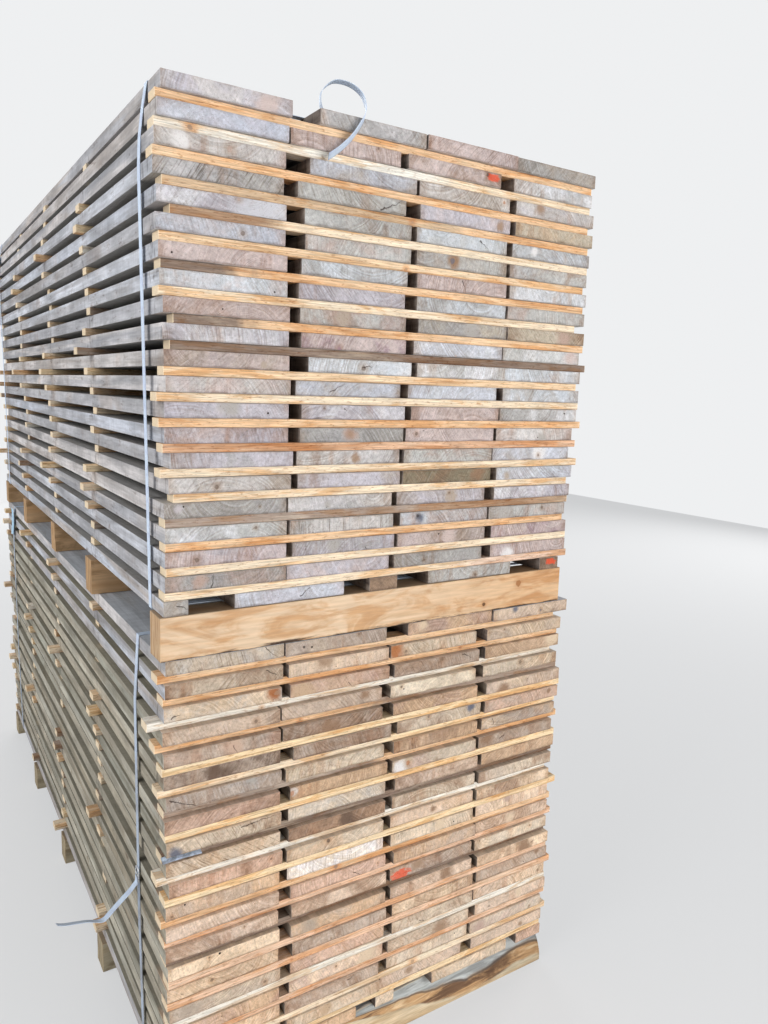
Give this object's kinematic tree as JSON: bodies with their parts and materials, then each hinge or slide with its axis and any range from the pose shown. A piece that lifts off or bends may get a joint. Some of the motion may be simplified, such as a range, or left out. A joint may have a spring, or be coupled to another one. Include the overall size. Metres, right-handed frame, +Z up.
{
  "type": "lumber stack",
  "caption": "Stack of two strapped bundles of rough sawn boards, the layers held apart by thin cross laths and each bundle standing on cross bearers.",
  "frame": {"origin": "on the ground, under the middle bearer of the lower bundle, half way along and across the stack", "axes": "+Y along the boards from the front ends to the back ends, +X across the stack to the right seen from the front, +Z up"},
  "size_m": [1.3379, 2.4728, 2.3194],
  "materials": {
    "grey_board": "rough sawn, greyed",
    "beige_board": "rough sawn",
    "sticker_wood": "sawn",
    "bearer_wood": "sawn",
    "strap": "corded, pale grey",
    "buckle_wire": "plain bent wire",
    "tag": "plain blue"
  },
  "bodies": {
    "root": {"upper_layer_01": "grey_board", "upper_layer_02": "grey_board", "upper_layer_03": "grey_board", "upper_layer_04": "grey_board", "upper_layer_05": "grey_board", "upper_layer_06": "grey_board", "upper_layer_07": "grey_board", "upper_layer_08": "grey_board", "upper_layer_09": "grey_board", "upper_layer_10": "grey_board", "upper_layer_11": "grey_board", "upper_layer_12": "grey_board", "upper_layer_13": "grey_board", "upper_layer_14": "grey_board", "upper_layer_15": "grey_board", "upper_layer_16": "grey_board", "upper_layer_17": "grey_board", "upper_layer_18": "grey_board", "upper_layer_19": "grey_board", "upper_layer_20": "grey_board", "upper_base_row": "grey_board", "upper_stickers": "sticker_wood", "upper_bearers": "bearer_wood", "lower_layer_01": "beige_board", "lower_layer_02": "beige_board", "lower_layer_03": "beige_board", "lower_layer_04": "beige_board", "lower_layer_05": "beige_board", "lower_layer_06": "beige_board", "lower_layer_07": "beige_board", "lower_layer_08": "beige_board", "lower_layer_09": "beige_board", "lower_layer_10": "beige_board", "lower_layer_11": "beige_board", "lower_layer_12": "beige_board", "lower_layer_13": "beige_board", "lower_layer_14": "beige_board", "lower_layer_15": "beige_board", "lower_layer_16": "beige_board", "lower_layer_17": "beige_board", "lower_layer_18": "beige_board", "lower_layer_19": "beige_board", "lower_layer_20": "beige_board", "lower_base_row": "beige_board", "lower_stickers": "sticker_wood", "lower_bearers": "bearer_wood", "lower_front_bearer": "bearer_wood", "upper_near_strap": "strap", "upper_far_strap": "strap", "lower_near_strap": "strap", "lower_far_strap": "strap", "upper_strap_tail": "strap", "lower_strap_tail": "strap", "strap_offcut": "strap", "upper_buckle": "buckle_wire", "lower_buckle": "buckle_wire", "upper_tag": "tag", "lower_tag": "tag"}
  },
  "joints": []
}
